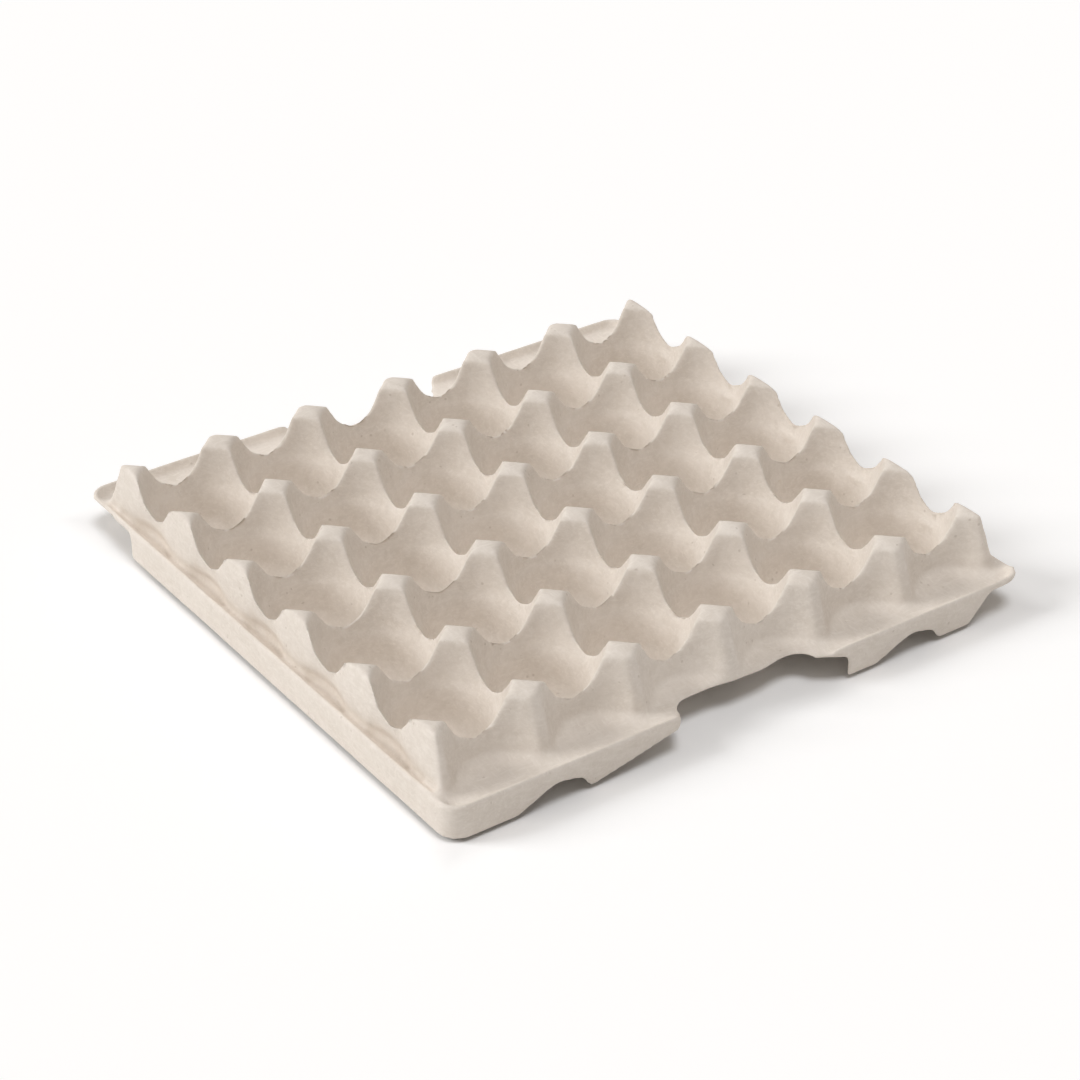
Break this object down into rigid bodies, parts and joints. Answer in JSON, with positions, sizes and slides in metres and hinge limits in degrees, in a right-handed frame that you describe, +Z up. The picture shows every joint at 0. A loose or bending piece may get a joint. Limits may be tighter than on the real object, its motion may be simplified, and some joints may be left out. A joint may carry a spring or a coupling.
{
  "type": "pulp egg tray",
  "caption": "Moulded pulp egg tray: a grid of round cups between flat-topped posts, with a lipped rim, a hanging skirt and finger notches on two sides.",
  "frame": {"origin": "centre of the bounding box's bottom, at the height of the cup bottoms that the tray rests on", "axes": "+X along the side with more cups, +Y along the side with fewer cups, where the finger notches are, +Z up out of the cups"},
  "size_m": [0.298, 0.2956, 0.0385],
  "materials": {
    "pulp": "matte undyed light grey pulp, fine fibre mottling"
  },
  "bodies": {
    "root": {"tray": "pulp"}
  },
  "joints": []
}
